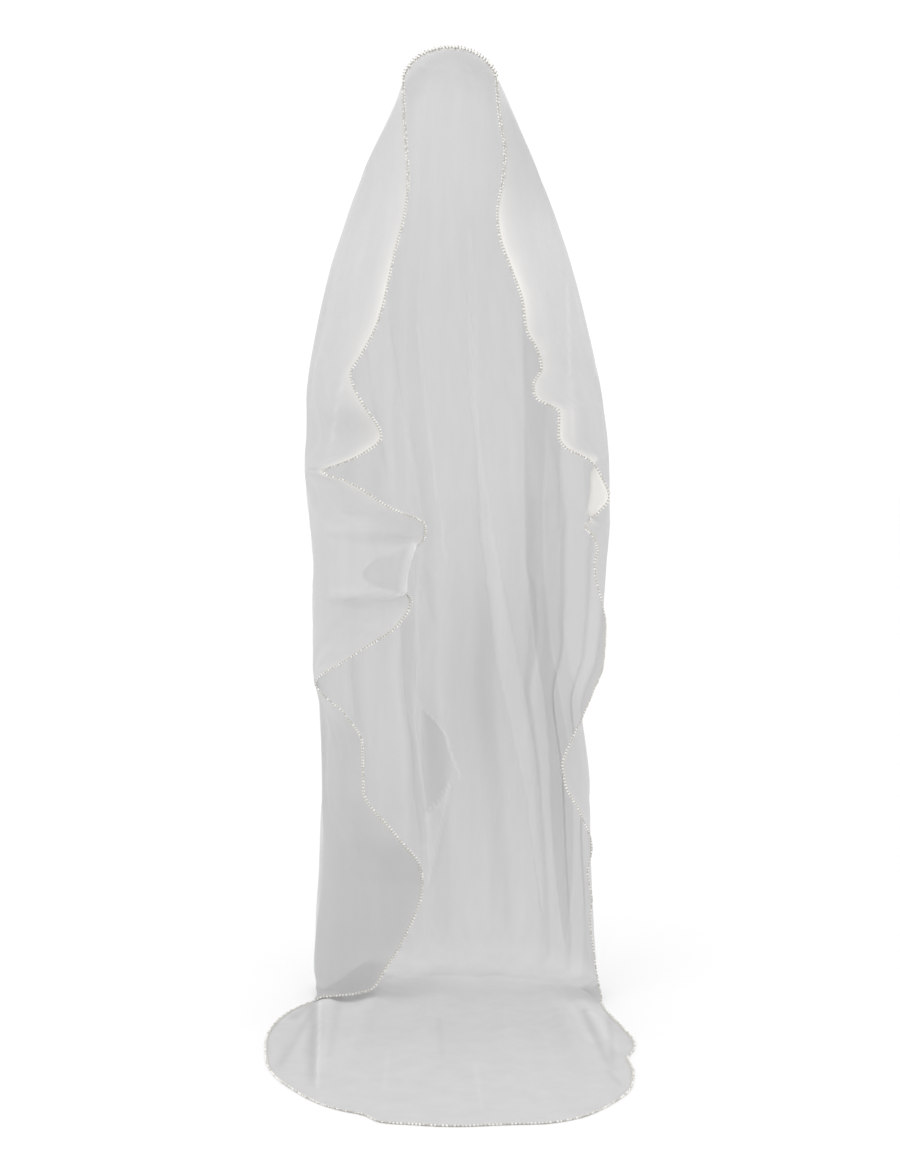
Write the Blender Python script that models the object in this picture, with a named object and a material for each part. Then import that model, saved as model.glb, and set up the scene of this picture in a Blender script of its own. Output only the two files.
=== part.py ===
"""Floor-length bridal veil: one sheet of tulle worn over the head, edged all round with a corded trim.

The sheet hangs from the crown of a head that isn't modelled. It covers the back, folds round both sides
to the front, where its free edges fall in cascades, and sweeps forward over the floor as a rounded train.
Z is up, the wearer faces -Y, and the origin is on the crown, where the head holds the veil.
"""

import bpy
import numpy as np

MM = 0.001

# Driving sizes, in millimetres
FLOOR_DROP = 1760.0
WALL = 1.5
SEAM_GAP = 0.3
EDGING_RADIUS = 2.0
EDGING_GAP = 0.3
HOOD_DROP = 255.0
BACK_POINTS = 181
FLAP_POINTS = 25

# How the sheet hangs. Each row is one level: its drop below the crown along the middle of the back, the
# level of its sides, the place of the middle of the back, and how pointed the row is over the head.
# Columns: drop, side_drop, back_y, back_drop, point
LEVELS = np.array(
    [
        (0, 67, -20, 0, 1.0),
        (12, 84, 8, -1, 1.2),
        (28, 104, 36, 2, 1.4),
        (48, 127, 62, 10, 1.5),
        (75, 152, 86, 28, 1.5),
        (110, 178, 103, 60, 1.4),
        (155, 203, 113, 108, 1.2),
        (205, 229, 121, 172, 1.0),
        (255, 255, 128, 255, 1.0),
        (345, 345, 140, 345, 1.0),
        (565, 565, 162, 565, 1.0),
        (900, 900, 196, 900, 1.0),
        (1300, 1300, 226, 1300, 1.0),
        (1480, 1480, 234, 1480, 1.0),
        (1580, 1580, 229, 1580, 1.0),
        (1650, 1650, 214, 1650, 1.0),
        (1700, 1700, 191, 1700, 1.0),
        (1730, 1730, 163, 1730, 1.0),
        (1750, 1750, 128, 1750, 1.0),
    ],
    float,
)

# The two sides, where the sheet turns from the back to the front.
# Columns: drop, left_x, right_x, y
SIDES = np.array(
    [
        (67, -86, 86, -20),
        (101, -100, 107, -12),
        (147, -122, 129, -5),
        (205, -151, 155, 0),
        (275, -180, 185, 0),
        (325, -196, 202, 0),
        (400, -220, 227, 0),
        (515, -246, 256, 0),
        (645, -266, 284, 0),
        (775, -269, 298, 0),
        (870, -262, 299, 0),
        (945, -257, 293, 0),
        (1050, -257, 285, 0),
        (1130, -256, 275, 0),
        (1220, -243, 247, 0),
        (1360, -240, 261, 0),
        (1520, -246, 266, 0),
        (1650, -256, 273, 0),
        (1720, -259, 278, 0),
        (1750, -254, 281, 0),
    ],
    float,
)

# The free edges in front. Each row is a bend of the cascade.
# Columns: drop, x, y
LEFT_EDGE = np.array(
    [
        (67, -86, -20),
        (132, -84, -30),
        (243, -77, -55),
        (307, -84, -75),
        (372, -100, -95),
        (499, -130, -120),
        (560, -160, -138),
        (598, -180, -150),
        (625, -172, -164),
        (652, -156, -170),
        (710, -125, -140),
        (735, -152, -142),
        (754, -190, -155),
        (771, -233, -185),
        (789, -183, -190),
        (837, -108, -168),
        (871, -46, -110),
        (896, -48, -86),
        (908, -58, -74),
        (921, -86, -70),
        (944, -144, -70),
        (964, -160, -70),
        (982, -142, -70),
        (996, -96, -71),
        (1007, -72, -80),
        (1019, -74, -92),
        (1056, -96, -90),
        (1111, -183, -135),
        (1152, -244, -188),
        (1167, -234, -195),
        (1211, -190, -180),
        (1270, -161, -150),
        (1357, -160, -130),
        (1441, -101, -130),
        (1506, -55, -112),
        (1540, -52, -100),
        (1656, -93, -90),
        (1700, -121, -94),
        (1718, -131, -98),
        (1731, -141, -102),
        (1740, -153, -106),
        (1745, -194, -110),
        (1750, -240, -108),
    ],
    float,
)
RIGHT_EDGE = np.array(
    [
        (67, 86, -20),
        (132, 92, -30),
        (188, 101, -45),
        (243, 97, -60),
        (308, 87, -80),
        (344, 91, -90),
        (408, 113, -100),
        (462, 132, -110),
        (517, 140, -115),
        (553, 160, -115),
        (586, 168, -106),
        (616, 152, -125),
        (637, 154, -140),
        (663, 198, -150),
        (709, 197, -150),
        (729, 210, -140),
        (752, 254, -130),
        (782, 274, -138),
        (818, 288, -143),
        (846, 268, -141),
        (870, 246, -128),
        (889, 262, -94),
        (906, 271, -70),
        (924, 274, -62),
        (942, 268, -68),
        (969, 270, -70),
        (1013, 281, -66),
        (1060, 289, -62),
        (1133, 284, -70),
        (1178, 266, -85),
        (1223, 246, -95),
        (1277, 221, -105),
        (1314, 208, -110),
        (1351, 214, -110),
        (1404, 241, -95),
        (1477, 265, -72),
        (1521, 257, -75),
        (1576, 266, -66),
        (1608, 262, -75),
        (1679, 270, -75),
        (1716, 275, -85),
        (1750, 282, -110),
    ],
    float,
)

# Where a free edge turns over on itself: the left one is tucked behind, the right one is a lapel in front.
# Columns: drop, fold_x, fold_y, heading_x, heading_y, turned
LEFT_TURN = np.array(
    [
        (67, -64, -104, 0.7, 0.7, 0),
        (876, -64, -108, 0.7, 0.7, 0),
        (908, -66, -110, 0.7, 0.7, 1),
        (940, -74, -118, 0.7, 0.7, 1),
        (975, -80, -120, 0.7, 0.7, 1),
        (997, -82, -116, 0.7, 0.7, 1),
        (1022, -82, -110, 0.7, 0.7, 0),
        (1750, -76, -106, 0.7, 0.7, 0),
    ],
    float,
)
RIGHT_TURN = np.array(
    [
        (67, 256, -120, 0, -1, 0),
        (735, 256, -120, 0, -1, 0),
        (775, 256, -120, 0, -1, 1),
        (848, 249, -120, 0, -1, 1),
        (874, 246, -120, 0, -1, 0),
        (1750, 246, -120, 0, -1, 0),
    ],
    float,
)

# Flutes of the back, from the left side to the right: place across it, and depth towards the front.
# Columns: share, depth
FLUTES = np.array(
    [
        (0.0, 0),
        (0.065, -10),
        (0.13, 13),
        (0.20, -14),
        (0.265, 15),
        (0.315, -14),
        (0.365, 14),
        (0.44, -7),
        (0.515, 14),
        (0.585, -11),
        (0.64, 11),
        (0.69, -12),
        (0.745, 11),
        (0.805, -9),
        (0.87, 7),
        (0.935, -5),
        (1.0, 0),
    ],
    float,
)
# Columns: drop, growth
FLUTE_GROWTH = np.array(
    [
        (0, 0),
        (255, 0),
        (420, 0.25),
        (700, 0.6),
        (1000, 0.9),
        (1400, 1.0),
        (1600, 0.7),
        (1750, 0.3),
    ],
    float,
)
FLUTE_DRIFT = 0.16

# Outlines on the floor: where the falls come down, from the left to the right, and then the train's edges.
LANDING = np.array(
    [
        (-256, -108),
        (-249, -64),
        (-236, -18),
        (-205, 24),
        (-155, 56),
        (-85, 76),
        (0, 84),
        (100, 78),
        (172, 56),
        (222, 24),
        (252, -18),
        (268, -66),
        (280, -122),
    ],
    float,
)
TRAIN_LEFT = np.array(
    [
        (-256, -108),
        (-272, -136),
        (-287, -166),
        (-303, -215),
        (-318, -300),
        (-320, -375),
        (-315, -446),
        (-304, -531),
        (-285, -598),
        (-258, -655),
        (-231, -706),
    ],
    float,
)
TRAIN_RIGHT = np.array(
    [
        (280, -122),
        (286, -180),
        (297, -240),
        (310, -310),
        (320, -380),
        (315, -430),
        (301, -480),
        (305, -545),
        (300, -611),
        (290, -668),
        (270, -716),
    ],
    float,
)
TRAIN_HEM = np.array(
    [
        (-231, -706),
        (-203, -744),
        (-169, -775),
        (-136, -796),
        (-109, -833),
        (-59, -846),
        (-5, -855),
        (92, -846),
        (160, -837),
        (202, -812),
        (240, -767),
        (270, -716),
    ],
    float,
)
LANDING_FLAP = 0.14

# Soft folds of the train, as ridges from one point of the floor to another
# Columns: from_x, from_y, to_x, to_y, height, width
RIDGES = np.array(
    [
        (-225, -60, -262, -560, 11, 26),
        (-130, 60, -185, -640, 9, 34),
        (-20, 90, -60, -700, 10, 40),
        (90, 80, 110, -720, 8, 36),
        (185, 0, 232, -600, 12, 30),
        (240, -110, 282, -430, 10, 20),
    ],
    float,
)

# Where the wall's rows and columns are taken
FALL_DROPS = (
    [0, 12, 28, 48, 75, 110, 155, 205, 255]
    + [307, 360, 415, 470, 525, 565, 598, 625, 652, 682, 710, 732]
    + [752, 771, 789, 818, 846, 858, 870, 884, 896, 908, 921, 937, 953, 968, 982]
    + [996, 1007, 1019, 1034, 1056, 1085, 1111, 1152, 1178, 1211, 1245, 1277, 1314, 1360, 1404]
    + [1441, 1477, 1508, 1540, 1590, 1640, 1675, 1700, 1718, 1731, 1740, 1745, 1750]
)
FLAP_STEPS = (0.0, 0.15, 0.3, 0.53, 0.77, 1.0)
FOLD_STEP = 0.3
LAST_BEND = 0.76
FLUTE_STEPS = 2
SIDE_COLUMNS_ON_FLOOR = 8
TRAIN_ROWS = 12


def smooth(table, column, at):
    """A column of a table between its rows, with no overshoot."""
    x = table[:, 0]
    y = table[:, column]
    step = np.diff(x)
    slope = np.diff(y) / step
    tangent = np.zeros(len(x))
    same = slope[:-1] * slope[1:] > 0
    tangent[1:-1][same] = 2 * slope[:-1][same] * slope[1:][same] / (slope[:-1] + slope[1:])[same]
    tangent[0] = slope[0]
    tangent[-1] = slope[-1]
    at = np.clip(at, x[0], x[-1])
    i = np.clip(np.searchsorted(x, at, side="right") - 1, 0, len(x) - 2)
    t = (at - x[i]) / step[i]
    return (
        y[i] * (1 + 2 * t) * (1 - t) ** 2
        + tangent[i] * step[i] * t * (1 - t) ** 2
        + y[i + 1] * t * t * (3 - 2 * t)
        - tangent[i + 1] * step[i] * t * t * (1 - t)
    )


def travelled(points):
    """The way from the first point to each one, along the line through them."""
    steps = np.linalg.norm(np.diff(points, axis=0), axis=1)
    return np.concatenate([[0.0], np.cumsum(steps)])


def along(points, way, at):
    """Points at given ways along a line of points."""
    return np.stack([np.interp(at, way, points[:, k]) for k in range(points.shape[1])], axis=1)


def rounded(outline, at):
    """Points at shares of the way along a smooth curve through an outline."""
    way = travelled(outline)
    table = np.column_stack([way / way[-1], outline])
    fine = np.linspace(0, 1, 8 * len(outline))
    curve = np.column_stack([spline(table, k, fine) for k in range(1, table.shape[1])])
    length = travelled(curve)
    return along(curve, length / length[-1], at)


def spline(table, column, at):
    """A column of a table between its rows, as a Catmull-Rom curve."""
    x = table[:, 0]
    y = table[:, column]
    tangent = np.gradient(y, x)
    i = np.clip(np.searchsorted(x, at, side="right") - 1, 0, len(x) - 2)
    step = x[i + 1] - x[i]
    t = (at - x[i]) / step
    return (
        y[i] * (1 + 2 * t) * (1 - t) ** 2
        + tangent[i] * step * t * (1 - t) ** 2
        + y[i + 1] * t * t * (3 - 2 * t)
        - tangent[i + 1] * step * t * t * (1 - t)
    )


def bezier(a, b, c, d, t):
    t = t[:, None]
    return a * (1 - t) ** 3 + 3 * b * t * (1 - t) ** 2 + 3 * c * t * t * (1 - t) + d * t**3


def flap_line(side, edge, turn):
    """A flap in plan, from the free edge (share 0) over its last fold (FOLD_STEP) to the side (share 1).

    Where the edge doesn't turn over, the flap is one curve, and its last fold is the place LAST_BEND along it.
    """
    fold, turned_heading, turned = turn[:2], turn[2:4], turn[4]
    forward = np.array([0.0, edge[1] - side[1]])
    across = np.array([edge[0] - side[0], 0.0])
    breadth = abs(across[0]) / max(abs(across[0]) + abs(forward[1]), 1e-9)
    first = side + 0.6 * forward
    last = edge - 0.45 * across + (0.33 * breadth - 0.25) * forward
    natural = bezier(side, first, last, edge, np.array([LAST_BEND, LAST_BEND + 0.04]))
    bend = (1 - turned) * natural[0] + turned * fold
    heading = unit((1 - turned) * unit(natural[1] - natural[0]) + turned * turned_heading)
    reach = np.linalg.norm(bend - side)
    t = np.linspace(0, 1, FLAP_POINTS)
    inner = bezier(side, side + 0.35 * np.array([0.0, -reach]), bend - 0.3 * reach * heading, bend, t)
    tip = np.linalg.norm(edge - bend)
    outer = bezier(bend, bend + 0.4 * tip * heading, edge - 0.3 * (edge - bend), edge, t)
    inner_way = travelled(inner)
    outer_way = travelled(outer)
    reach = max(inner_way[-1] + outer_way[-1], 1e-9)
    share = turned * FOLD_STEP + (1 - turned) * outer_way[-1] / reach
    shares = np.concatenate(
        [
            share * (1 - outer_way[::-1] / max(outer_way[-1], 1e-9)),
            1 - (1 - share) * inner_way[::-1] / max(inner_way[-1], 1e-9),
        ]
    )
    order = np.argsort(shares, kind="stable")
    return shares[order], np.concatenate([outer[::-1], inner[::-1]])[order], inner_way[-1] + outer_way[-1]


def back_line(drop, left, right):
    """The back between the two sides, without its flutes, and the way along it."""
    side_drop = smooth(LEVELS, 1, drop)
    depth = smooth(LEVELS, 2, drop) - left[1]
    rise = smooth(LEVELS, 3, drop) - side_drop
    point = smooth(LEVELS, 4, drop)
    turn = np.linspace(0, np.pi, BACK_POINTS)
    middle = (left[0] + right[0]) / 2
    half = (right[0] - left[0]) / 2
    line = np.column_stack(
        [
            middle - half * np.cos(turn),
            left[1] + depth * np.sin(turn),
            -(side_drop + rise * np.abs(np.sin(turn)) ** point),
        ]
    )
    return line, travelled(line)


def drifted(steps, drop):
    """Places across the back, which lie further to the right the lower they are."""
    return steps + FLUTE_DRIFT * (drop / FLOOR_DROP) * np.sin(np.pi * steps)


def fall_row(drop, flap_steps, back_steps):
    """One level of the hanging cloth, from the left free edge round the back to the right one."""
    level = float(smooth(LEVELS, 1, drop))
    left = np.array([smooth(SIDES, 1, level), smooth(SIDES, 3, level)], float)
    right = np.array([smooth(SIDES, 2, level), smooth(SIDES, 3, level)], float)
    line, way = back_line(drop, left, right)
    length = way[-1]
    spare = 0.1 * length * max(0.0, 1 - drop / HOOD_DROP)
    flaps = []
    for edge_table, turns, side in ((LEFT_EDGE, LEFT_TURN, left), (RIGHT_EDGE, RIGHT_TURN, right)):
        is_right = side is right
        edge = np.array([smooth(edge_table, 1, level), smooth(edge_table, 2, level)], float)
        turn = np.array([smooth(turns, column, level) for column in range(1, 6)])
        shares, plan, reach = flap_line(side, edge, turn)
        wanted = np.array(flap_steps) * (reach + spare)
        on_flap = np.minimum(wanted / max(reach, 1e-6), 1.0)
        points = np.column_stack([along(plan, shares, on_flap), np.full(len(on_flap), -level)])
        beyond = np.maximum(wanted - reach, 0.0)
        over = along(line, way, length - beyond if is_right else beyond)
        points = np.where((wanted > reach)[:, None], over, points)
        flaps.append(points[::-1] if is_right else points)
    steps = np.array(back_steps)
    at = spare + (length - 2 * spare) * drifted(steps, drop)
    back = along(line, way, at)
    ahead = along(line, way, at + 0.5) - along(line, way, at - 0.5)
    inward = np.column_stack([ahead[:, 1], -ahead[:, 0]])
    inward /= np.linalg.norm(inward, axis=1)[:, None]
    depth = smooth(FLUTES, 1, steps) * smooth(FLUTE_GROWTH, 1, drop)
    back[:, :2] += inward * depth[:, None]
    return np.concatenate([flaps[0][:-1], back, flaps[1][1:]])


def landing_row(flap_steps, back_steps):
    """The line where the falls meet the floor."""
    flap = LANDING_FLAP * np.array(flap_steps)
    back = LANDING_FLAP + (1 - 2 * LANDING_FLAP) * drifted(np.array(back_steps), FLOOR_DROP)
    plan = rounded(LANDING, np.concatenate([flap[:-1], back, (1 - flap[::-1])[1:]]))
    return np.column_stack([plan, np.full(len(plan), WALL / 2 - FLOOR_DROP)])


def ridge_height(plan):
    """How far the train's soft folds lift it from the floor."""
    height = np.zeros(plan.shape[:-1])
    for from_x, from_y, to_x, to_y, top, width in RIDGES:
        start = np.array([from_x, from_y])
        run = np.array([to_x, to_y]) - start
        share = np.clip(((plan - start) @ run) / (run @ run), 0, 1)
        aside = np.linalg.norm(plan - start - share[..., None] * run, axis=-1)
        ends = np.sin(np.pi * np.clip(0.15 + 0.8 * share, 0, 1))
        height = np.maximum(height, top * ends * np.exp(-((aside / width) ** 2) * 2))
    return height


def train_grid(landing, side, rows):
    """The train as rows of points, between the landing, its two outlines and the hem.

    Its first row is the back of the landing. The landing's sides begin its left and right columns.
    """
    spread = np.arange(1, rows + 1) / rows
    left = np.concatenate([landing[side::-1, :2], rounded(TRAIN_LEFT, spread)])
    right = np.concatenate([landing[-1 - side :, :2], rounded(TRAIN_RIGHT, spread)])
    top = landing[side : len(landing) - side, :2]
    way = travelled(top)
    across = (way / way[-1])[:, None]
    bottom = rounded(TRAIN_HEM, np.linspace(0, 1, len(top)))
    left_way = travelled(left)
    right_way = travelled(right)
    grid = np.zeros((len(left), len(top), 3))
    for i in range(len(left)):
        down = (left_way[i] / left_way[-1] + right_way[i] / right_way[-1]) / 2
        sides = (1 - across) * left[i] + across * right[i]
        ends = (1 - down) * top + down * bottom
        corners = (1 - down) * ((1 - across) * top[0] + across * top[-1])
        corners = corners + down * ((1 - across) * bottom[0] + across * bottom[-1])
        grid[i, :, :2] = sides + ends - corners
    grid[0, :, :2] = top
    grid[-1, :, :2] = bottom
    grid[..., 2] = WALL / 2 - FLOOR_DROP
    grid[1:-1, 1:-1, 2] += ridge_height(grid[1:-1, 1:-1, :2])
    return grid


def back_columns(steps_between):
    """Places across the back: every crest and trough of the flutes, and points between them."""
    crests = FLUTES[:, 0]
    places = [crests[:-1] + np.diff(crests) * k / steps_between for k in range(steps_between)]
    return np.append(np.stack(places, axis=1).ravel(), 1.0)


def fall_grid(fall_drops, flap_steps, back_steps):
    """The hanging cloth as rows of points, from the crown's edge down to the floor."""
    rows = [fall_row(float(drop), flap_steps, back_steps) for drop in fall_drops]
    return np.array(rows + [landing_row(flap_steps, back_steps)])


def unit(vectors):
    return vectors / np.maximum(np.linalg.norm(vectors, axis=-1, keepdims=True), 1e-9)


def sheet_normals(grid):
    """Outward directions at the points of the sheet, as the mean of the faces round each."""
    first = grid[1:, 1:] - grid[:-1, :-1]
    second = grid[1:, :-1] - grid[:-1, 1:]
    faces = unit(np.cross(first, second))
    total = np.zeros_like(grid)
    total[:-1, :-1] += faces
    total[:-1, 1:] += faces
    total[1:, :-1] += faces
    total[1:, 1:] += faces
    return unit(total)


def rim_of(high, wide, cut):
    """The points round a grid in order, without the corners that are cut."""
    rim = [(0, j) for j in range(wide)] + [(i, wide - 1) for i in range(1, high)]
    rim += [(high - 1, j) for j in range(wide - 2, -1, -1)] + [(i, 0) for i in range(high - 2, 0, -1)]
    return [place for place in rim if place not in cut]


def sheet_edge(falls, train, side):
    """The places round the whole sheet in order, as (grid, row, column), without the cut corners."""
    high, wide = falls.shape[:2]
    long, broad = train.shape[:2]
    places = [("falls", 0, j) for j in range(1, wide - 1)]
    places += [("falls", i, wide - 1) for i in range(1, high)]
    places += [("train", i, broad - 1) for i in range(side + 1, long - 1)]
    places += [("train", long - 1, j) for j in range(broad - 2, 0, -1)]
    places += [("train", i, 0) for i in range(long - 2, side, -1)]
    places += [("falls", i, 0) for i in range(high - 1, 0, -1)]
    return places


def pull_in(grids, normals, places):
    """Moves the sheet's edge in, square to itself, to leave room for the edging, and returns its old line."""
    line = [grids[name][i, j].copy() for name, i, j in places]
    reach = EDGING_RADIUS + EDGING_GAP
    moves = []
    for k, (name, i, j) in enumerate(places):
        grid = grids[name]
        ahead = unit(line[(k + 1) % len(line)] - line[k])
        behind = unit(line[k] - line[k - 1])
        inward = unit(np.cross(normals[name][i, j], ahead + behind))
        inner_i = min(max(i, 1), grid.shape[0] - 2)
        inner_j = min(max(j, 1), grid.shape[1] - 2)
        if np.dot(inward, grid[inner_i, inner_j] - line[k]) < 0:
            inward = -inward
        turn = np.linalg.norm(ahead + behind) / 2
        moves.append(reach / max(turn, 0.45) * inward)
    last = grids["falls"].shape[0] - 1
    for k, (name, i, j) in enumerate(places):
        if name == "falls" and i == last:
            both = np.array([moves[k - 1], moves[(k + 1) % len(places)]]) * np.array([1.0, 1.0, 0.0])
            both = reach * unit(both)
            moves[k] = (both[0] + both[1]) / (1 + both[0] @ both[1] / reach**2)
        if name == "train" or i == last:
            moves[k][2] = 0.0
    for (name, i, j), move in zip(places, moves):
        grids[name][i, j] += move
    return line


def seam_places(train, side):
    """Where the train meets the falls, in the order of the landing's points."""
    broad = train.shape[1]
    places = [(i, 0) for i in range(side, 0, -1)]
    places += [(0, j) for j in range(broad)]
    places += [(i, broad - 1) for i in range(1, side + 1)]
    return places


def material(name, colour, roughness):
    made = bpy.data.materials.new(name)
    made.use_nodes = True
    shader = made.node_tree.nodes["Principled BSDF"]
    shader.inputs["Base Color"].default_value = (*colour, 1.0)
    shader.inputs["Roughness"].default_value = roughness
    shader.inputs["Metallic"].default_value = 0.0
    return made


def wall(name, grid, normals, cut, collection, look):
    """A closed wall round a grid of points, with both its faces split along the same diagonals."""
    high, wide = grid.shape[:2]
    kept = [(i, j) for i in range(high) for j in range(wide) if (i, j) not in cut]
    number = {place: k for k, place in enumerate(kept)}
    count = len(kept)
    outer = np.array([grid[place] + normals[place] * WALL / 2 for place in kept])
    inner = np.array([grid[place] - normals[place] * WALL / 2 for place in kept])
    faces = []
    for i in range(high - 1):
        for j in range(wide - 1):
            a, b, c, d = (i, j), (i, j + 1), (i + 1, j + 1), (i + 1, j)
            if np.linalg.norm(grid[a] - grid[c]) < np.linalg.norm(grid[b] - grid[d]):
                halves = [(a, b, c), (a, c, d)]
            else:
                halves = [(a, b, d), (b, c, d)]
            missing = [place for place in (a, b, c, d) if place in cut]
            if missing:
                halves = [[place for place in (a, b, c, d) if place not in cut]]
            for half in halves:
                face = [number[place] for place in half]
                faces.append(face)
                faces.append([count + k for k in reversed(face)])
    rim = [number[place] for place in rim_of(high, wide, cut)]
    for k, a in enumerate(rim):
        b = rim[(k + 1) % len(rim)]
        faces.append((b, a, count + a, count + b))
    mesh = bpy.data.meshes.new(name)
    mesh.from_pydata((np.concatenate([outer, inner]) * MM).tolist(), [], faces)
    mesh.validate()
    mesh.shade_smooth()
    made = bpy.data.objects.new(name, mesh)
    mesh.materials.append(look)
    collection.objects.link(made)
    return made


def stretch(falls, normals, rows, columns):
    """One stretch of the falls, drawn back half a seam's gap where another one meets it."""
    high, wide = falls.shape[:2]
    part = falls[rows[0] : rows[1] + 1, columns[0] : columns[1] + 1].copy()
    half_gap = SEAM_GAP / 2
    if rows[0] > 0:
        part[0] += half_gap * unit(part[1] - part[0])
    part[-1] += half_gap * unit(part[-2] - part[-1])
    if columns[0] > 0:
        part[:, 0] += half_gap * unit(part[:, 1] - part[:, 0])
    if columns[1] < wide - 1:
        part[:, -1] += half_gap * unit(part[:, -2] - part[:, -1])
    cut = [(0, 0), (0, wide - 1)] if rows[0] == 0 else []
    return part, normals[rows[0] : rows[1] + 1, columns[0] : columns[1] + 1], cut


def edging(name, line, collection, look):
    """The corded trim, a round tube that runs once round the whole sheet."""
    curve = bpy.data.curves.new(name, "CURVE")
    curve.dimensions = "3D"
    curve.bevel_depth = EDGING_RADIUS * MM
    curve.bevel_resolution = 1
    path = curve.splines.new("POLY")
    path.points.add(len(line) - 1)
    for point, place in zip(path.points, line):
        lowest = EDGING_RADIUS - FLOOR_DROP
        x, y, z = place[0], place[1], max(place[2], lowest)
        point.co = (x * MM, y * MM, z * MM, 1.0)
    path.use_cyclic_u = True
    curve.materials.append(look)
    made = bpy.data.objects.new(name, curve)
    collection.objects.link(made)
    return made


def main():
    for old in list(bpy.data.objects):
        bpy.data.objects.remove(old)
    collection = bpy.data.collections.new("bridal_veil")
    bpy.context.scene.collection.children.link(collection)
    tulle = material("tulle", (0.86, 0.86, 0.86), 0.7)
    pearl = material("pearl_trim", (0.93, 0.91, 0.86), 0.35)

    back_steps = back_columns(FLUTE_STEPS)
    side = SIDE_COLUMNS_ON_FLOOR
    falls = fall_grid(FALL_DROPS, FLAP_STEPS, back_steps)
    train = train_grid(falls[-1], side, TRAIN_ROWS)
    down = np.array([0.0, 0.0, -1.0])
    fall_normals = sheet_normals(falls)
    fall_normals[-1] = unit(fall_normals[-1] + down)
    train_normals = sheet_normals(train)
    seam = seam_places(train, side)
    for k, place in enumerate(seam):
        train_normals[place] = fall_normals[-1, k]

    places = sheet_edge(falls, train, side)
    line = pull_in({"falls": falls, "train": train}, {"falls": fall_normals, "train": train_normals}, places)
    for k, (i, j) in enumerate(seam):
        train[i, j] = falls[-1, k]
    for i, j in seam:
        inner_i = max(i, 1)
        inner_j = min(max(j, 1), train.shape[1] - 2)
        train[i, j] += SEAM_GAP / 2 * unit(train[inner_i, inner_j] - train[i, j])
    last_row, last_column = train.shape[0] - 1, train.shape[1] - 1
    train_cut = [(0, 0), (0, last_column), (last_row, 0), (last_row, last_column)]

    hood_row = FALL_DROPS.index(HOOD_DROP)
    landing = falls.shape[0] - 1
    right = falls.shape[1] - 1
    left_seam = len(FLAP_STEPS) - 1 + 4 * FLUTE_STEPS
    right_seam = right - left_seam
    stretches = {
        "crown": ((0, hood_row), (0, right)),
        "left_fall": ((hood_row, landing), (0, left_seam)),
        "back_fall": ((hood_row, landing), (left_seam, right_seam)),
        "right_fall": ((hood_row, landing), (right_seam, right)),
    }
    for name, (rows, columns) in stretches.items():
        grid, out, cut = stretch(falls, fall_normals, rows, columns)
        wall(name, grid, out, cut, collection, tulle)
    wall("train", train, train_normals, train_cut, collection, tulle)
    edging("pearl_edging", line, collection, pearl)


main()
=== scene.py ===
"""Bridal veil, as it looks: the sheet of tulle with its folds, its rolled satin edge and its pearls.

The tables and the first functions are those of the solids, in millimetres: the sheet has the same form, taken
at more points, with the creases that the solids leave out. Z is up, the wearer faces -Y, and the origin is on
the crown.
"""

import math

import bmesh
import bpy
import numpy as np
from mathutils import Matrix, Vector


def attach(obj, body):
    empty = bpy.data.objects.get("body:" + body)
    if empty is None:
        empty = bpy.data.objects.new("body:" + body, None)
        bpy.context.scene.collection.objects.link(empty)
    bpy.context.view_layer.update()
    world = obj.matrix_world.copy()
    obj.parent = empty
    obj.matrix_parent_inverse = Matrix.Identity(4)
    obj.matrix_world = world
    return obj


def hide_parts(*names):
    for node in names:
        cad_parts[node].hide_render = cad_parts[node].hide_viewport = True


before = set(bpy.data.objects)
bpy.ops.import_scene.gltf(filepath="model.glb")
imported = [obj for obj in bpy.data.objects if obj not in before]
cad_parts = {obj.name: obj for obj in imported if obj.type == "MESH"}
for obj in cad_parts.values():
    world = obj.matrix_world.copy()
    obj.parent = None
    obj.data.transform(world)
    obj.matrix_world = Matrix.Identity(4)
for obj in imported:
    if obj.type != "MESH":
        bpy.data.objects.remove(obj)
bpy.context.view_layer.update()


def table_of(*rows):
    """A table of numbers."""
    return np.array(rows, float)


# Driving sizes, in millimetres
FLOOR_DROP = 1760.0
WALL = 1.5
HOOD_DROP = 255.0
BACK_POINTS = 181
FLAP_POINTS = 25

# How the sheet hangs. Each row is one level: its drop below the crown along the middle of the back, the
# level of its sides, the place of the middle of the back, and how pointed the row is over the head.
# Columns: drop, side_drop, back_y, back_drop, point
LEVELS = table_of(
    (0, 67, -20, 0, 1.0),
    (12, 84, 8, -1, 1.2),
    (28, 104, 36, 2, 1.4),
    (48, 127, 62, 10, 1.5),
    (75, 152, 86, 28, 1.5),
    (110, 178, 103, 60, 1.4),
    (155, 203, 113, 108, 1.2),
    (205, 229, 121, 172, 1.0),
    (255, 255, 128, 255, 1.0),
    (345, 345, 140, 345, 1.0),
    (565, 565, 162, 565, 1.0),
    (900, 900, 196, 900, 1.0),
    (1300, 1300, 226, 1300, 1.0),
    (1480, 1480, 234, 1480, 1.0),
    (1580, 1580, 229, 1580, 1.0),
    (1650, 1650, 214, 1650, 1.0),
    (1700, 1700, 191, 1700, 1.0),
    (1730, 1730, 163, 1730, 1.0),
    (1750, 1750, 128, 1750, 1.0),
)

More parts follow.
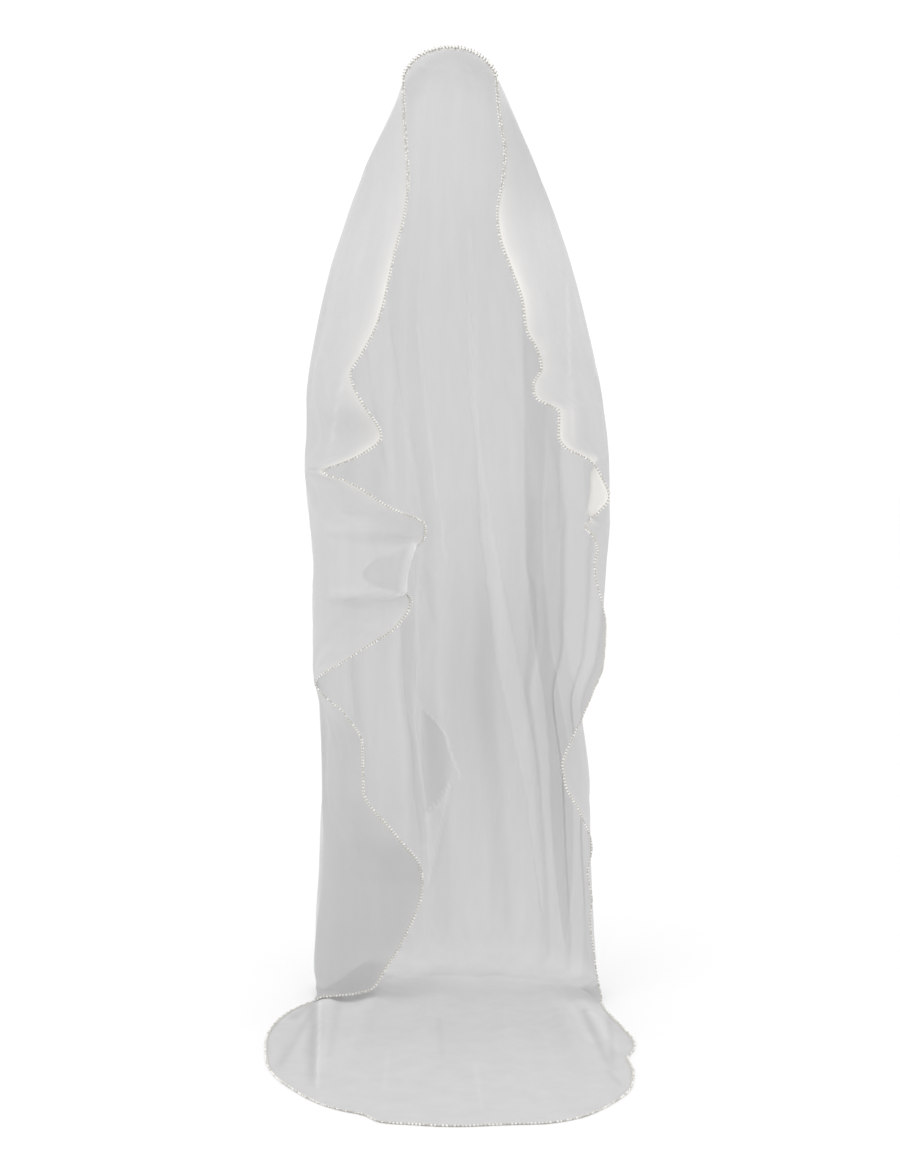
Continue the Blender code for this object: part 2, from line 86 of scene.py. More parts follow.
# The two sides, where the sheet turns from the back to the front.
# Columns: drop, left_x, right_x, y
SIDES = table_of(
    (67, -86, 86, -20),
    (101, -100, 107, -12),
    (147, -122, 129, -5),
    (205, -151, 155, 0),
    (275, -180, 185, 0),
    (325, -196, 202, 0),
    (400, -220, 227, 0),
    (515, -246, 256, 0),
    (645, -266, 284, 0),
    (775, -269, 298, 0),
    (870, -262, 299, 0),
    (945, -257, 293, 0),
    (1050, -257, 285, 0),
    (1130, -256, 275, 0),
    (1220, -243, 247, 0),
    (1360, -240, 261, 0),
    (1520, -246, 266, 0),
    (1650, -256, 273, 0),
    (1720, -259, 278, 0),
    (1750, -254, 281, 0),
)

# The free edges in front. Each row is a bend of the cascade.
# Columns: drop, x, y
LEFT_EDGE = table_of(
    (67, -86, -20),
    (132, -84, -30),
    (243, -77, -55),
    (307, -84, -75),
    (372, -100, -95),
    (499, -130, -120),
    (560, -160, -138),
    (598, -180, -150),
    (625, -172, -164),
    (652, -156, -170),
    (710, -125, -140),
    (735, -152, -142),
    (754, -190, -155),
    (771, -233, -185),
    (789, -183, -190),
    (837, -108, -168),
    (871, -46, -110),
    (896, -48, -86),
    (908, -58, -74),
    (921, -86, -70),
    (944, -144, -70),
    (964, -160, -70),
    (982, -142, -70),
    (996, -96, -71),
    (1007, -72, -80),
    (1019, -74, -92),
    (1056, -96, -90),
    (1111, -183, -135),
    (1152, -244, -188),
    (1167, -234, -195),
    (1211, -190, -180),
    (1270, -161, -150),
    (1357, -160, -130),
    (1441, -101, -130),
    (1506, -55, -112),
    (1540, -52, -100),
    (1656, -93, -90),
    (1700, -121, -94),
    (1718, -131, -98),
    (1731, -141, -102),
    (1740, -153, -106),
    (1745, -194, -110),
    (1750, -240, -108),
)
RIGHT_EDGE = table_of(
    (67, 86, -20),
    (132, 92, -30),
    (188, 101, -45),
    (243, 97, -60),
    (308, 87, -80),
    (344, 91, -90),
    (408, 113, -100),
    (462, 132, -110),
    (517, 140, -115),
    (553, 160, -115),
    (586, 168, -106),
    (616, 152, -125),
    (637, 154, -140),
    (663, 198, -150),
    (709, 197, -150),
    (729, 210, -140),
    (752, 254, -130),
    (782, 274, -138),
    (818, 288, -143),
    (846, 268, -141),
    (870, 246, -128),
    (889, 262, -94),
    (906, 271, -70),
    (924, 274, -62),
    (942, 268, -68),
    (969, 270, -70),
    (1013, 281, -66),
    (1060, 289, -62),
    (1133, 284, -70),
    (1178, 266, -85),
    (1223, 246, -95),
    (1277, 221, -105),
    (1314, 208, -110),
    (1351, 214, -110),
    (1404, 241, -95),
    (1477, 265, -72),
    (1521, 257, -75),
    (1576, 266, -66),
    (1608, 262, -75),
    (1679, 270, -75),
    (1716, 275, -85),
    (1750, 282, -110),
)

# Where a free edge turns over on itself: the left one is tucked behind, the right one is a lapel in front.
# Columns: drop, fold_x, fold_y, heading_x, heading_y, turned
LEFT_TURN = table_of(
    (67, -64, -104, 0.7, 0.7, 0),
    (876, -64, -108, 0.7, 0.7, 0),
    (908, -66, -110, 0.7, 0.7, 1),
    (940, -74, -118, 0.7, 0.7, 1),
    (975, -80, -120, 0.7, 0.7, 1),
    (997, -82, -116, 0.7, 0.7, 1),
    (1022, -82, -110, 0.7, 0.7, 0),
    (1750, -76, -106, 0.7, 0.7, 0),
)
RIGHT_TURN = table_of(
    (67, 256, -120, 0, -1, 0),
    (735, 256, -120, 0, -1, 0),
    (775, 256, -120, 0, -1, 1),
    (848, 249, -120, 0, -1, 1),
    (874, 246, -120, 0, -1, 0),
    (1750, 246, -120, 0, -1, 0),
)

# Flutes of the back, from the left side to the right: place across it, and depth towards the front.
# Columns: share, depth
FLUTES = table_of(
    (0.0, 0),
    (0.065, -10),
    (0.13, 13),
    (0.20, -14),
    (0.265, 15),
    (0.315, -14),
    (0.365, 14),
    (0.44, -7),
    (0.515, 14),
    (0.585, -11),
    (0.64, 11),
    (0.69, -12),
    (0.745, 11),
    (0.805, -9),
    (0.87, 7),
    (0.935, -5),
    (1.0, 0),
)
# Columns: drop, growth
FLUTE_GROWTH = table_of(
    (0, 0),
    (255, 0),
    (420, 0.25),
    (700, 0.6),
    (1000, 0.9),
    (1400, 1.0),
    (1600, 0.7),
    (1750, 0.3),
)
# How far to the right the middle of the back has drifted at the floor, as a share of its width
FLUTE_DRIFT = 0.16

# Outlines on the floor: where the falls come down, from the left to the right, and then the train's edges.
LANDING = table_of(
    (-256, -108),
    (-249, -64),
    (-236, -18),
    (-205, 24),
    (-155, 56),
    (-85, 76),
    (0, 84),
    (100, 78),
    (172, 56),
    (222, 24),
    (252, -18),
    (268, -66),
    (280, -122),
)
TRAIN_LEFT = table_of(
    (-256, -108),
    (-272, -136),
    (-287, -166),
    (-303, -215),
    (-318, -300),
    (-320, -375),
    (-315, -446),
    (-304, -531),
    (-285, -598),
    (-258, -655),
    (-231, -706),
)
TRAIN_RIGHT = table_of(
    (280, -122),
    (286, -180),
    (297, -240),
    (310, -310),
    (320, -380),
    (315, -430),
    (301, -480),
    (305, -545),
    (300, -611),
    (290, -668),
    (270, -716),
)
TRAIN_HEM = table_of(
    (-231, -706),
    (-203, -744),
    (-169, -775),
    (-136, -796),
    (-109, -833),
    (-59, -846),
    (-5, -855),
    (92, -846),
    (160, -837),
    (202, -812),
    (240, -767),
    (270, -716),
)
# How much of the landing each flap takes, as a share of its length
LANDING_FLAP = 0.14
# How much of a row over the head the flaps take, as a share of its length
HEAD_SPARE = 0.1

# Soft folds of the train, as ridges from one point of the floor to another
# Columns: from_x, from_y, to_x, to_y, height, width
RIDGES = table_of(
    (-225, -60, -262, -560, 11, 26),
    (-130, 60, -185, -640, 9, 34),
    (-20, 90, -60, -700, 10, 40),
    (90, 80, 110, -720, 8, 36),
    (185, 0, 232, -600, 12, 30),
    (240, -110, 282, -430, 10, 20),
)

# How far along its arch a ridge starts, and how much of the arch it takes
RIDGE_START = 0.15
RIDGE_RUN = 0.8

MM = 0.001

# How finely the sheet is taken
FLAP_COLUMNS = 20
FLUTE_STEPS = 12
FLAP_STEPS = np.linspace(0, 1, FLAP_COLUMNS + 1)
FALL_DROPS = np.concatenate(
    [
        np.linspace(0, 48, 13),
        np.linspace(54, 255, 24),
        np.linspace(264, 1704, 161),
        np.linspace(1711, 1750, 7),
    ]
)
SIDE_COLUMNS_ON_FLOOR = FLAP_COLUMNS + FLUTE_STEPS
TRAIN_ROWS = 80

# Where a flap has its last fold: at this share of its width where the edge turns over, and at this place of
# its one curve elsewhere, whose heading is taken over the step after it
FOLD_STEP = 0.3
LAST_BEND = 0.76
BEND_STEP = 0.04
# The handles of a flap's curves in plan, as shares of their reach: those of the one curve, and the two of
# each part where the edge turns over. A broad flap swings forward at its edge and a narrow one back.
SIDE_HANDLE = 0.6
EDGE_HANDLE = 0.45
BROAD_SWING = 0.33
NARROW_SWING = 0.25
INNER_HANDLES = (0.35, 0.3)
OUTER_HANDLES = (0.4, 0.3)

# Creases of the hanging cloth: each runs from a place across the sheet (0 the left edge, 1 the right one) and
# a drop to another, with the depth of its trough and its width.
# Columns: from_across, from_drop, to_across, to_drop, depth, width
CREASES = table_of(
    (0.10, 130, 0.06, 700, 3.5, 14),
    (0.15, 150, 0.12, 900, 4.5, 18),
    (0.20, 170, 0.19, 1100, 3.0, 12),
    (0.24, 140, 0.25, 820, 4.0, 16),
    (0.29, 300, 0.31, 1500, 2.5, 20),
    (0.335, 150, 0.35, 1150, 2.0, 16),
    (0.38, 260, 0.42, 1620, 2.0, 20),
    (0.425, 180, 0.445, 900, 1.5, 14),
    (0.46, 420, 0.50, 1480, 1.5, 18),
    (0.505, 160, 0.56, 1300, 1.5, 20),
    (0.585, 150, 0.605, 980, 1.5, 14),
    (0.62, 340, 0.66, 1560, 1.5, 18),
    (0.67, 150, 0.70, 1250, 1.5, 16),
    (0.715, 450, 0.735, 1650, 2.0, 18),
    (0.76, 150, 0.77, 950, 1.5, 14),
    (0.80, 240, 0.81, 1350, 1.5, 18),
    (0.85, 140, 0.87, 760, 2.5, 16),
    (0.90, 130, 0.94, 640, 2.5, 14),
    (0.08, 900, 0.13, 1600, 4.0, 18),
    (0.16, 1050, 0.20, 1720, 3.5, 15),
    (0.88, 950, 0.90, 1500, 1.2, 16),
    (0.84, 1150, 0.83, 1740, 1.5, 18),
)
# A crease wanders sideways by this share of the row's width, in waves this long, and rises to a ridge on one
# side, this many of its widths away and this share of its depth.
CREASE_WANDER = 0.004
CREASE_WAVE = 210
CREASE_RIDGE_AWAY = 1.7
CREASE_RIDGE_SHARE = 0.6
# Fine unevenness of the hanging cloth, in waves that run at a slant over the sheet, stronger in some places
# than in others. It fades in below the head and out above the floor.
# Columns: waves_across, wave_down, start, share
RIPPLES = table_of(
    (210, 90, 0.0, 1.0),
    (143, -61, 1.3, 0.7),
)
RIPPLE_HEIGHT = 0.5
RIPPLE_STARTS = 60
RIPPLE_START_SOFT = 300
RIPPLE_ENDS = 1740
RIPPLE_END_SOFT = 80

# Places on the back where the cloth lies doubled in a pressed fold, between two lines as seen from the front.
# Each has its tone, which paints the fold lighter or darker as light and shade, its rise towards the front,
# how soft its left and right borders are, and its rows.
# Columns of the rows: drop, left_x, right_x
LEANING_FOLD = (0.09, 2.0, 3, 3, [
    (430, 36, 38), (616, 41, 45), (703, 49, 54), (800, 55, 69), (920, 64, 87), (1036, 78, 108),
    (1150, 90, 132), (1290, 122, 158), (1420, 150, 176), (1530, 164, 180), (1650, 182, 184),
])
DEEP_FOLD = (-0.17, -0.8, 3, 6, [
    (400, 136, 150), (468, 138, 165), (645, 142, 184), (741, 144, 185), (861, 146, 179), (958, 148, 181),
    (1119, 166, 196), (1236, 185, 216), (1316, 192, 231), (1464, 198, 240), (1570, 206, 238),
    (1700, 222, 226),
])
RIGHT_FOLD = (-0.07, -0.6, 5, 5, [
    (640, 185, 211), (731, 186, 212), (860, 184, 212), (957, 182, 207), (1068, 192, 214), (1161, 206, 232),
    (1224, 216, 246), (1300, 230, 256), (1380, 248, 252),
])
LEFT_FOLD = (0.06, 2.5, 5, 3, [
    (420, -164, -124), (563, -157, -108), (688, -140, -87), (781, -122, -68), (844, -113, -58),
    (889, -104, -51), (937, -95, -50), (1026, -88, -62), (1075, -98, -69),
])
LOWER_LEFT_FOLD = (-0.10, -1.5, 3, 3, [
    (937, -96, -66), (1075, -98, -69), (1199, -91, -66), (1310, -79, -62), (1427, -71, -54), (1529, -58, -46),
])
LEAF_FOLD = (-0.14, -1.5, 8, 13, [
    (1256, -56, -54), (1275, -56, -30), (1302, -57, -10), (1338, -57, 0), (1400, -54, 0), (1439, -52, -20),
    (1473, -50, -48),
])
WEDGE_FOLD = (0.18, 1.5, 8, 6, [
    (1395, -2, 2), (1439, -20, -6), (1473, -50, -14), (1539, -46, -28), (1612, -44, -42),
])
# Not a fold: a painted shadow beside the wedge fold, in the same form.
WEDGE_SHADE = (-0.08, 0.0, 6, 22, [
    (1400, 0, 6), (1439, -6, 2), (1473, -14, -4), (1539, -28, -18), (1612, -42, -36),
])
BACK_FOLDS = (
    LEANING_FOLD,
    DEEP_FOLD,
    RIGHT_FOLD,
    LEFT_FOLD,
    LOWER_LEFT_FOLD,
    LEAF_FOLD,
    WEDGE_FOLD,
    WEDGE_SHADE,
)

# The folds fade out on the back's flanks, which are less than about twice this far behind the sides.
FLANK_DEPTH = 45

# Sharp creases that catch the light: lightness, width, and rows
# Columns of the rows: drop, x
LINE_LEANING = (0.12, 3.5, [(330, 40), (501, 38), (616, 43), (703, 51), (820, 57), (938, 67)])
LINE_LEFT = (0.09, 3, [(500, -62), (563, -56), (626, -48), (713, -39), (810, -29), (873, -18), (960, -8)])
LINE_LEAF_TOP = (0.22, 3, [(1256, -55), (1275, -30), (1302, -10), (1338, 0), (1392, 20)])
LINE_LEAF_LOW = (0.12, 3, [(1402, 0), (1439, -20), (1473, -50)])
LINE_LEFT_LOW = (0.12, 3, [(1026, -66), (1166, -65), (1276, -69), (1377, -59), (1458, -48), (1560, -44)])
BACK_LINES = (LINE_LEANING, LINE_LEFT, LINE_LEAF_TOP, LINE_LEAF_LOW, LINE_LEFT_LOW)
LINE_RISE = 1.5
# How far down the folds and the creases fade in and out at their ends
FOLD_END = 20
LINE_END = 40
# Painted highlights on sharp creases of the two flaps: lightness, width, and rows
FLAP_LINE_LEFT = (0.09, 3.5, [(598, -189), (652, -205), (706, -214), (770, -220)])
FLAP_LINE_RIGHT = (0.09, 3.5, [(430, 214), (529, 218), (652, 221), (720, 223)])

# Painted warm glow: how much warmer and lighter the flaps are beside the edge, down the two sides
# Columns: drop, left, right
WARMTH = table_of(
    (67, 0.1, 0.1),
    (250, 0.3, 0.3),
    (330, 0.3, 0.9),
    (440, 0.9, 1.0),
    (520, 0.8, 0.6),
    (600, 0.4, 0.5),
    (680, 0.5, 0.8),
    (745, 1.0, 1.0),
    (790, 0.6, 1.2),
    (840, 0.3, 1.2),
    (862, 0.3, 0.4),
    (890, 0.2, 0.1),
    (1000, 0.2, 0.1),
    (1750, 0.1, 0.1),
)
# How far from the edge the warmth reaches
WARM_REACH = 15
# The right flap's upper corner turns over as a lapel, which gets the painted warm glow between these two
# levels.
LAPEL_TOP = 745
LAPEL_FOOT = 866
LAPEL_TOP_SOFT = 20
LAPEL_FOOT_SOFT = 16
LAPEL_WARMTH = 0.6
# How softly what turns over passes into the rest of the flap, as a share of it
TURN_SOFT = 0.12

# The left flap is tucked behind between these two levels, where the cloth behind it lies closer.
TUCK_TOP = 904
TUCK_FOOT = 1000
TUCK_SOFT = 20
# TUCK_TONE is painted light on the tucked part, which lifts the shade between the layers.
TUCK_TONE = 0.5

# The back's slow change of tone from the crown to the floor: it is lighter where the light falls on the top
# of the hood and where the pale floor lights its foot. Columns: drop, tone
BACK_TONES = table_of(
    (0, 0.30),
    (80, 0.12),
    (270, 0.08),
    (530, 0.05),
    (1100, 0.0),
    (1400, 0.02),
    (1640, 0.08),
    (1700, 0.12),
    (1735, 0.25),
    (1760, 0.32),
)
# Patches of painted light and shade on the back: behind the head, on the hood's left and right, down the
# middle, on the lower left, down the right side and at the foot. Columns: x, drop, reach_across, reach_down,
# tone
BACK_SHADES = table_of(
    (-50, 200, 70, 220, 0.11),
    (-150, 100, 50, 130, -0.18),
    (150, 150, 80, 220, -0.20),
    (65, 1190, 90, 220, -0.18),
    (-130, 1200, 90, 350, 0.06),
    (200, 1100, 55, 600, -0.09),
    (-110, 1755, 110, 50, 0.13),
)
# Soft shades on the left flap: it is lit above and below the place where its edge is tucked behind.
# Columns: x, drop, reach_across, reach_down, tone
LEFT_FLAP_SHADES = table_of(
    (-150, 868, 90, 28, 0.17),
    (-135, 1000, 75, 13, 0.13),
)
# Painted shade on the flaps: their slow change of tone, mostly darker, down the two sides. Columns: drop,
# left, right
FLAP_TONES = table_of(
    (67, 0.05, 0.04),
    (130, -0.06, -0.16),
    (240, -0.03, -0.11),
    (360, -0.01, 0.0),
    (600, -0.07, -0.07),
    (1150, -0.06, -0.15),
    (1280, -0.19, -0.15),
    (1750, -0.19, 0.0),
)
# The flaps' tones pass into the back's this far in front of the origin, over this depth
FRONT_STARTS = 10
FRONT_SOFT = 30
# The top of the hood, where the cloth lies on the hair, gets painted light: how far down it reaches, over
# what height it fades, and its tone
CROWN_BAND_DROP = 27
CROWN_BAND_SOFT = 4
CROWN_BAND_TONE = 0.07
# Painted shade on the doubled cloth at the foot of the left flap, in the same form as the folds of the back
HEM_PATCH = (-0.13, 0.0, 3, 3, [
    (1688, -150, -108), (1700, -176, -100), (1714, -192, -95), (1730, -216, -90), (1752, -244, -90),
])

# Painted light on the train: its tone from the hem to the landing, lighter towards the landing. Columns: y,
# tone
TRAIN_TONES = table_of(
    (-860, 0.02),
    (-300, 0.02),
    (-200, 0.07),
    (-50, 0.17),
    (0, 0.25),
    (90, 0.40),
)
# Painted light and shade along the pleats and streaks of the train, as lines from one point of the floor to
# another
# Columns: from_x, from_y, to_x, to_y, tone, width
STREAKS = table_of(
    (-244, -68, -217, -652, 0.14, 3.5),
    (-226, -90, -216, -560, 0.06, 12),
    (-253, -112, -227, -635, -0.16, 9),
    (-248, -98, -289, -232, -0.16, 12),
    (-246, -148, -290, -549, -0.12, 10),
    (-205, -60, -208, -480, -0.05, 7),
    (242, -176, 269, -537, -0.10, 6),
    (256, -200, 284, -440, 0.08, 12),
    (291, -176, 274, -549, -0.08, 6),
    (263, -549, 281, -647, -0.08, 6),
    (227, -112, 250, -396, 0.06, 14),
    (-107, -428, -107, -674, 0.025, 4),
    (42, -501, 51, -771, 0.025, 4),
    (-20, -245, -14, -477, -0.04, 5),
)

# The streaks fade in and out at these shares of their length, over these shares of it.
STREAK_STARTS = 0.02
STREAK_START_SOFT = 0.1
STREAK_ENDS = 0.98
STREAK_END_SOFT = 0.3

# The edge
ROLL_RADIUS = 1.4
ROLL_STEP = 1.5
ROLL_SIDES = 8
PEARL_RADIUS = 1.75
PEARL_PITCH = 6.0
# Rows of pearls, each on the part of the edge above its drop: how far it lies from the edge, outward from the
# sheet and off its face, and how far it is shifted along the edge, as a share of the pitch.
# Columns: lowest_drop, outward, off_face, shift
PEARL_ROWS = table_of(
    (2000, 2.3, 0.0, 0.0),
    (260, -0.7, 2.3, 0.5),
    (260, -0.7, -2.3, 0.5),
    (55, 0.5, 4.6, 0.25),
)
# Painted shade on the rolled edge round the head, down to this drop and over this share of it.
HEAD_SHADE_DROP = 260
HEAD_SHADE_SHARE = 0.35
HEAD_SHADE_SOFT = 40

# How much of the view the net covers, face on and edge on, and how much more it covers with the painted warm
# glow and with painted light
COVER_FACE_ON = 0.75
COVER_EDGE_ON = 0.87
COVER_OF_WARMTH = 0.2
COVER_OF_TONE = 0.45

# How far the floor lies below the veil, which keeps the two apart
FLOOR_BELOW = 0.6

# The camera: the picture's height and the focal length in pixels, and where it looks from, in millimetres
PICTURE_HEIGHT = 1176
FOCAL_PIXELS = 2406
SENSOR = 36.0
CAMERA_PLACE = (0, -4500, -610)
CAMERA_PITCH = 4.9


def smooth(table, column, at):
    """A column of a table between its rows, with no overshoot."""
    x = table[:, 0]
    y = table[:, column]
    step = np.diff(x)
    slope = np.diff(y) / step
    tangent = np.zeros(len(x))
    same = slope[:-1] * slope[1:] > 0
    tangent[1:-1][same] = 2 * slope[:-1][same] * slope[1:][same] / (slope[:-1] + slope[1:])[same]
    tangent[0] = slope[0]
    tangent[-1] = slope[-1]
    at = np.clip(at, x[0], x[-1])
    i = np.clip(np.searchsorted(x, at, side="right") - 1, 0, len(x) - 2)
    t = (at - x[i]) / step[i]
    return (
        y[i] * (1 + 2 * t) * (1 - t) ** 2
        + tangent[i] * step[i] * t * (1 - t) ** 2
        + y[i + 1] * t * t * (3 - 2 * t)
        - tangent[i + 1] * step[i] * t * t * (1 - t)
    )


def travelled(points):
    """The way from the first point to each one, along the line through them."""
    steps = np.linalg.norm(np.diff(points, axis=0), axis=1)
    return np.concatenate([[0.0], np.cumsum(steps)])


def along(points, way, at):
    """Points at given ways along a line of points."""
    return np.stack([np.interp(at, way, points[:, k]) for k in range(points.shape[1])], axis=1)


def rounded(outline, at):
    """Points at shares of the way along a smooth curve through an outline."""
    way = travelled(outline)
    table = np.column_stack([way / way[-1], outline])
    fine = np.linspace(0, 1, 8 * len(outline))
    curve = np.column_stack([spline(table, k, fine) for k in range(1, table.shape[1])])
    length = travelled(curve)
    return along(curve, length / length[-1], at)


def spline(table, column, at):
    """A column of a table between its rows, as a Catmull-Rom curve."""
    x = table[:, 0]
    y = table[:, column]
    tangent = np.gradient(y, x)
    i = np.clip(np.searchsorted(x, at, side="right") - 1, 0, len(x) - 2)
    step = x[i + 1] - x[i]
    t = (at - x[i]) / step
    return (
        y[i] * (1 + 2 * t) * (1 - t) ** 2
        + tangent[i] * step * t * (1 - t) ** 2
        + y[i + 1] * t * t * (3 - 2 * t)
        - tangent[i + 1] * step * t * t * (1 - t)
    )


def bezier(a, b, c, d, t):
    """Points on the curve from a to d with the handles b and c, at places t along it."""
    t = t[:, None]
    return a * (1 - t) ** 3 + 3 * b * t * (1 - t) ** 2 + 3 * c * t * t * (1 - t) + d * t**3


def flap_line(side, edge, turn):
    """A flap in plan, from the free edge (share 0) over its last fold to the side (share 1).

    Where the edge doesn't turn over, the flap is one curve, with its last fold at the place LAST_BEND.
    """
    fold, turned_heading, turned = turn[:2], turn[2:4], turn[4]
    forward = np.array([0.0, edge[1] - side[1]])
    across = np.array([edge[0] - side[0], 0.0])
    breadth = abs(across[0]) / max(abs(across[0]) + abs(forward[1]), 1e-9)
    first = side + SIDE_HANDLE * forward
    last = edge - EDGE_HANDLE * across + (BROAD_SWING * breadth - NARROW_SWING) * forward
    natural = bezier(side, first, last, edge, np.array([LAST_BEND, LAST_BEND + BEND_STEP]))
    bend = (1 - turned) * natural[0] + turned * fold
    heading = unit((1 - turned) * unit(natural[1] - natural[0]) + turned * turned_heading)
    reach = np.linalg.norm(bend - side)
    t = np.linspace(0, 1, FLAP_POINTS)
    leaving = side + INNER_HANDLES[0] * np.array([0.0, -reach])
    inner = bezier(side, leaving, bend - INNER_HANDLES[1] * reach * heading, bend, t)
    tip = np.linalg.norm(edge - bend)
    leaving = bend + OUTER_HANDLES[0] * tip * heading
    outer = bezier(bend, leaving, edge - OUTER_HANDLES[1] * (edge - bend), edge, t)
    inner_way = travelled(inner)
    outer_way = travelled(outer)
    reach = max(inner_way[-1] + outer_way[-1], 1e-9)
    share = turned * FOLD_STEP + (1 - turned) * outer_way[-1] / reach
    shares = np.concatenate(
        [
            share * (1 - outer_way[::-1] / max(outer_way[-1], 1e-9)),
            1 - (1 - share) * inner_way[::-1] / max(inner_way[-1], 1e-9),
        ]
    )
    order = np.argsort(shares, kind="stable")
    return shares[order], np.concatenate([outer[::-1], inner[::-1]])[order], inner_way[-1] + outer_way[-1]


def back_line(drop, left, right):
    """The back between the two sides, without its flutes, and the way along it."""
    side_drop = smooth(LEVELS, 1, drop)
    depth = smooth(LEVELS, 2, drop) - left[1]
    rise = smooth(LEVELS, 3, drop) - side_drop
    point = smooth(LEVELS, 4, drop)
    turn = np.linspace(0, np.pi, BACK_POINTS)
    middle = (left[0] + right[0]) / 2
    half = (right[0] - left[0]) / 2
    line = np.column_stack(
        [
            middle - half * np.cos(turn),
            left[1] + depth * np.sin(turn),
            -(side_drop + rise * np.abs(np.sin(turn)) ** point),
        ]
    )
    return line, travelled(line)


def drifted(steps, drop):
    """Places across the back, which lie further to the right the lower they are."""
    return steps + FLUTE_DRIFT * (drop / FLOOR_DROP) * np.sin(np.pi * steps)


def fall_row(drop, flap_steps, back_steps):
    """One level of the hanging cloth, from the left free edge round the back to the right one."""
    level = float(smooth(LEVELS, 1, drop))
    left = np.array([smooth(SIDES, 1, level), smooth(SIDES, 3, level)], float)
    right = np.array([smooth(SIDES, 2, level), smooth(SIDES, 3, level)], float)
    line, way = back_line(drop, left, right)
    length = way[-1]
    spare = HEAD_SPARE * length * max(0.0, 1 - drop / HOOD_DROP)
    flaps = []
    for edge_table, turns, side in ((LEFT_EDGE, LEFT_TURN, left), (RIGHT_EDGE, RIGHT_TURN, right)):
        is_right = side is right
        edge = np.array([smooth(edge_table, 1, level), smooth(edge_table, 2, level)], float)
        turn = np.array([smooth(turns, column, level) for column in range(1, 6)])
        shares, plan, reach = flap_line(side, edge, turn)
        wanted = np.array(flap_steps) * (reach + spare)
        on_flap = np.minimum(wanted / max(reach, 1e-6), 1.0)
        points = np.column_stack([along(plan, shares, on_flap), np.full(len(on_flap), -level)])
        beyond = np.maximum(wanted - reach, 0.0)
        over = along(line, way, length - beyond if is_right else beyond)
        points = np.where((wanted > reach)[:, None], over, points)
        flaps.append(points[::-1] if is_right else points)
    steps = np.array(back_steps)
    at = spare + (length - 2 * spare) * drifted(steps, drop)
    back = along(line, way, at)
    ahead = along(line, way, at + 0.5) - along(line, way, at - 0.5)
    inward = np.column_stack([ahead[:, 1], -ahead[:, 0]])
    inward /= np.linalg.norm(inward, axis=1)[:, None]
    depth = smooth(FLUTES, 1, steps) * smooth(FLUTE_GROWTH, 1, drop)
    back[:, :2] += inward * depth[:, None]
    return np.concatenate([flaps[0][:-1], back, flaps[1][1:]])


def landing_row(flap_steps, back_steps):
    """The line where the falls meet the floor."""
    flap = LANDING_FLAP * np.array(flap_steps)
    back = LANDING_FLAP + (1 - 2 * LANDING_FLAP) * drifted(np.array(back_steps), FLOOR_DROP)
    plan = rounded(LANDING, np.concatenate([flap[:-1], back, (1 - flap[::-1])[1:]]))
    return np.column_stack([plan, np.full(len(plan), WALL / 2 - FLOOR_DROP)])


def ridge_height(plan):
    """How far the train's soft folds lift it from the floor."""
    height = np.zeros(plan.shape[:-1])
    for from_x, from_y, to_x, to_y, top, width in RIDGES:
        start = np.array([from_x, from_y])
        run = np.array([to_x, to_y]) - start
        share = np.clip(((plan - start) @ run) / (run @ run), 0, 1)
        aside = np.linalg.norm(plan - start - share[..., None] * run, axis=-1)
        ends = np.sin(np.pi * np.clip(RIDGE_START + RIDGE_RUN * share, 0, 1))
        height = np.maximum(height, top * ends * np.exp(-((aside / width) ** 2) * 2))
    return height


def train_grid(landing, side, rows):
    """The train as rows of points, between the landing, its two outlines and the hem.

    Its first row is the back of the landing. The landing's sides begin its left and right columns.
    """
    spread = np.arange(1, rows + 1) / rows
    left = np.concatenate([landing[side::-1, :2], rounded(TRAIN_LEFT, spread)])
    right = np.concatenate([landing[-1 - side :, :2], rounded(TRAIN_RIGHT, spread)])
    top = landing[side : len(landing) - side, :2]
    way = travelled(top)
    across = (way / way[-1])[:, None]
    bottom = rounded(TRAIN_HEM, np.linspace(0, 1, len(top)))
    left_way = travelled(left)
    right_way = travelled(right)
    grid = np.zeros((len(left), len(top), 3))
    for i in range(len(left)):
        down = (left_way[i] / left_way[-1] + right_way[i] / right_way[-1]) / 2
        sides = (1 - across) * left[i] + across * right[i]
        ends = (1 - down) * top + down * bottom
        corners = (1 - down) * ((1 - across) * top[0] + across * top[-1])
        corners = corners + down * ((1 - across) * bottom[0] + across * bottom[-1])
        grid[i, :, :2] = sides + ends - corners
    grid[0, :, :2] = top
    grid[-1, :, :2] = bottom
    grid[..., 2] = WALL / 2 - FLOOR_DROP
    grid[1:-1, 1:-1, 2] += ridge_height(grid[1:-1, 1:-1, :2])
    return grid


def back_columns(steps_between):
    """Places across the back: every crest and trough of the flutes, and points between them."""
    crests = FLUTES[:, 0]
    places = [crests[:-1] + np.diff(crests) * k / steps_between for k in range(steps_between)]
    return np.append(np.stack(places, axis=1).ravel(), 1.0)


def fall_grid(fall_drops, flap_steps, back_steps):
    """The hanging cloth as rows of points, from the crown's edge down to the floor."""
    rows = [fall_row(float(drop), flap_steps, back_steps) for drop in fall_drops]
    return np.array(rows + [landing_row(flap_steps, back_steps)])


def unit(vectors):
    """Vectors with the same directions and the length 1."""
    return vectors / np.maximum(np.linalg.norm(vectors, axis=-1, keepdims=True), 1e-9)


def sheet_normals(grid):
    """Outward directions at the points of the sheet, as the mean of the faces round each."""
    first = grid[1:, 1:] - grid[:-1, :-1]
    second = grid[1:, :-1] - grid[:-1, 1:]
    faces = unit(np.cross(first, second))
    total = np.zeros_like(grid)
    total[:-1, :-1] += faces
    total[:-1, 1:] += faces
    total[1:, :-1] += faces
    total[1:, 1:] += faces
    return unit(total)


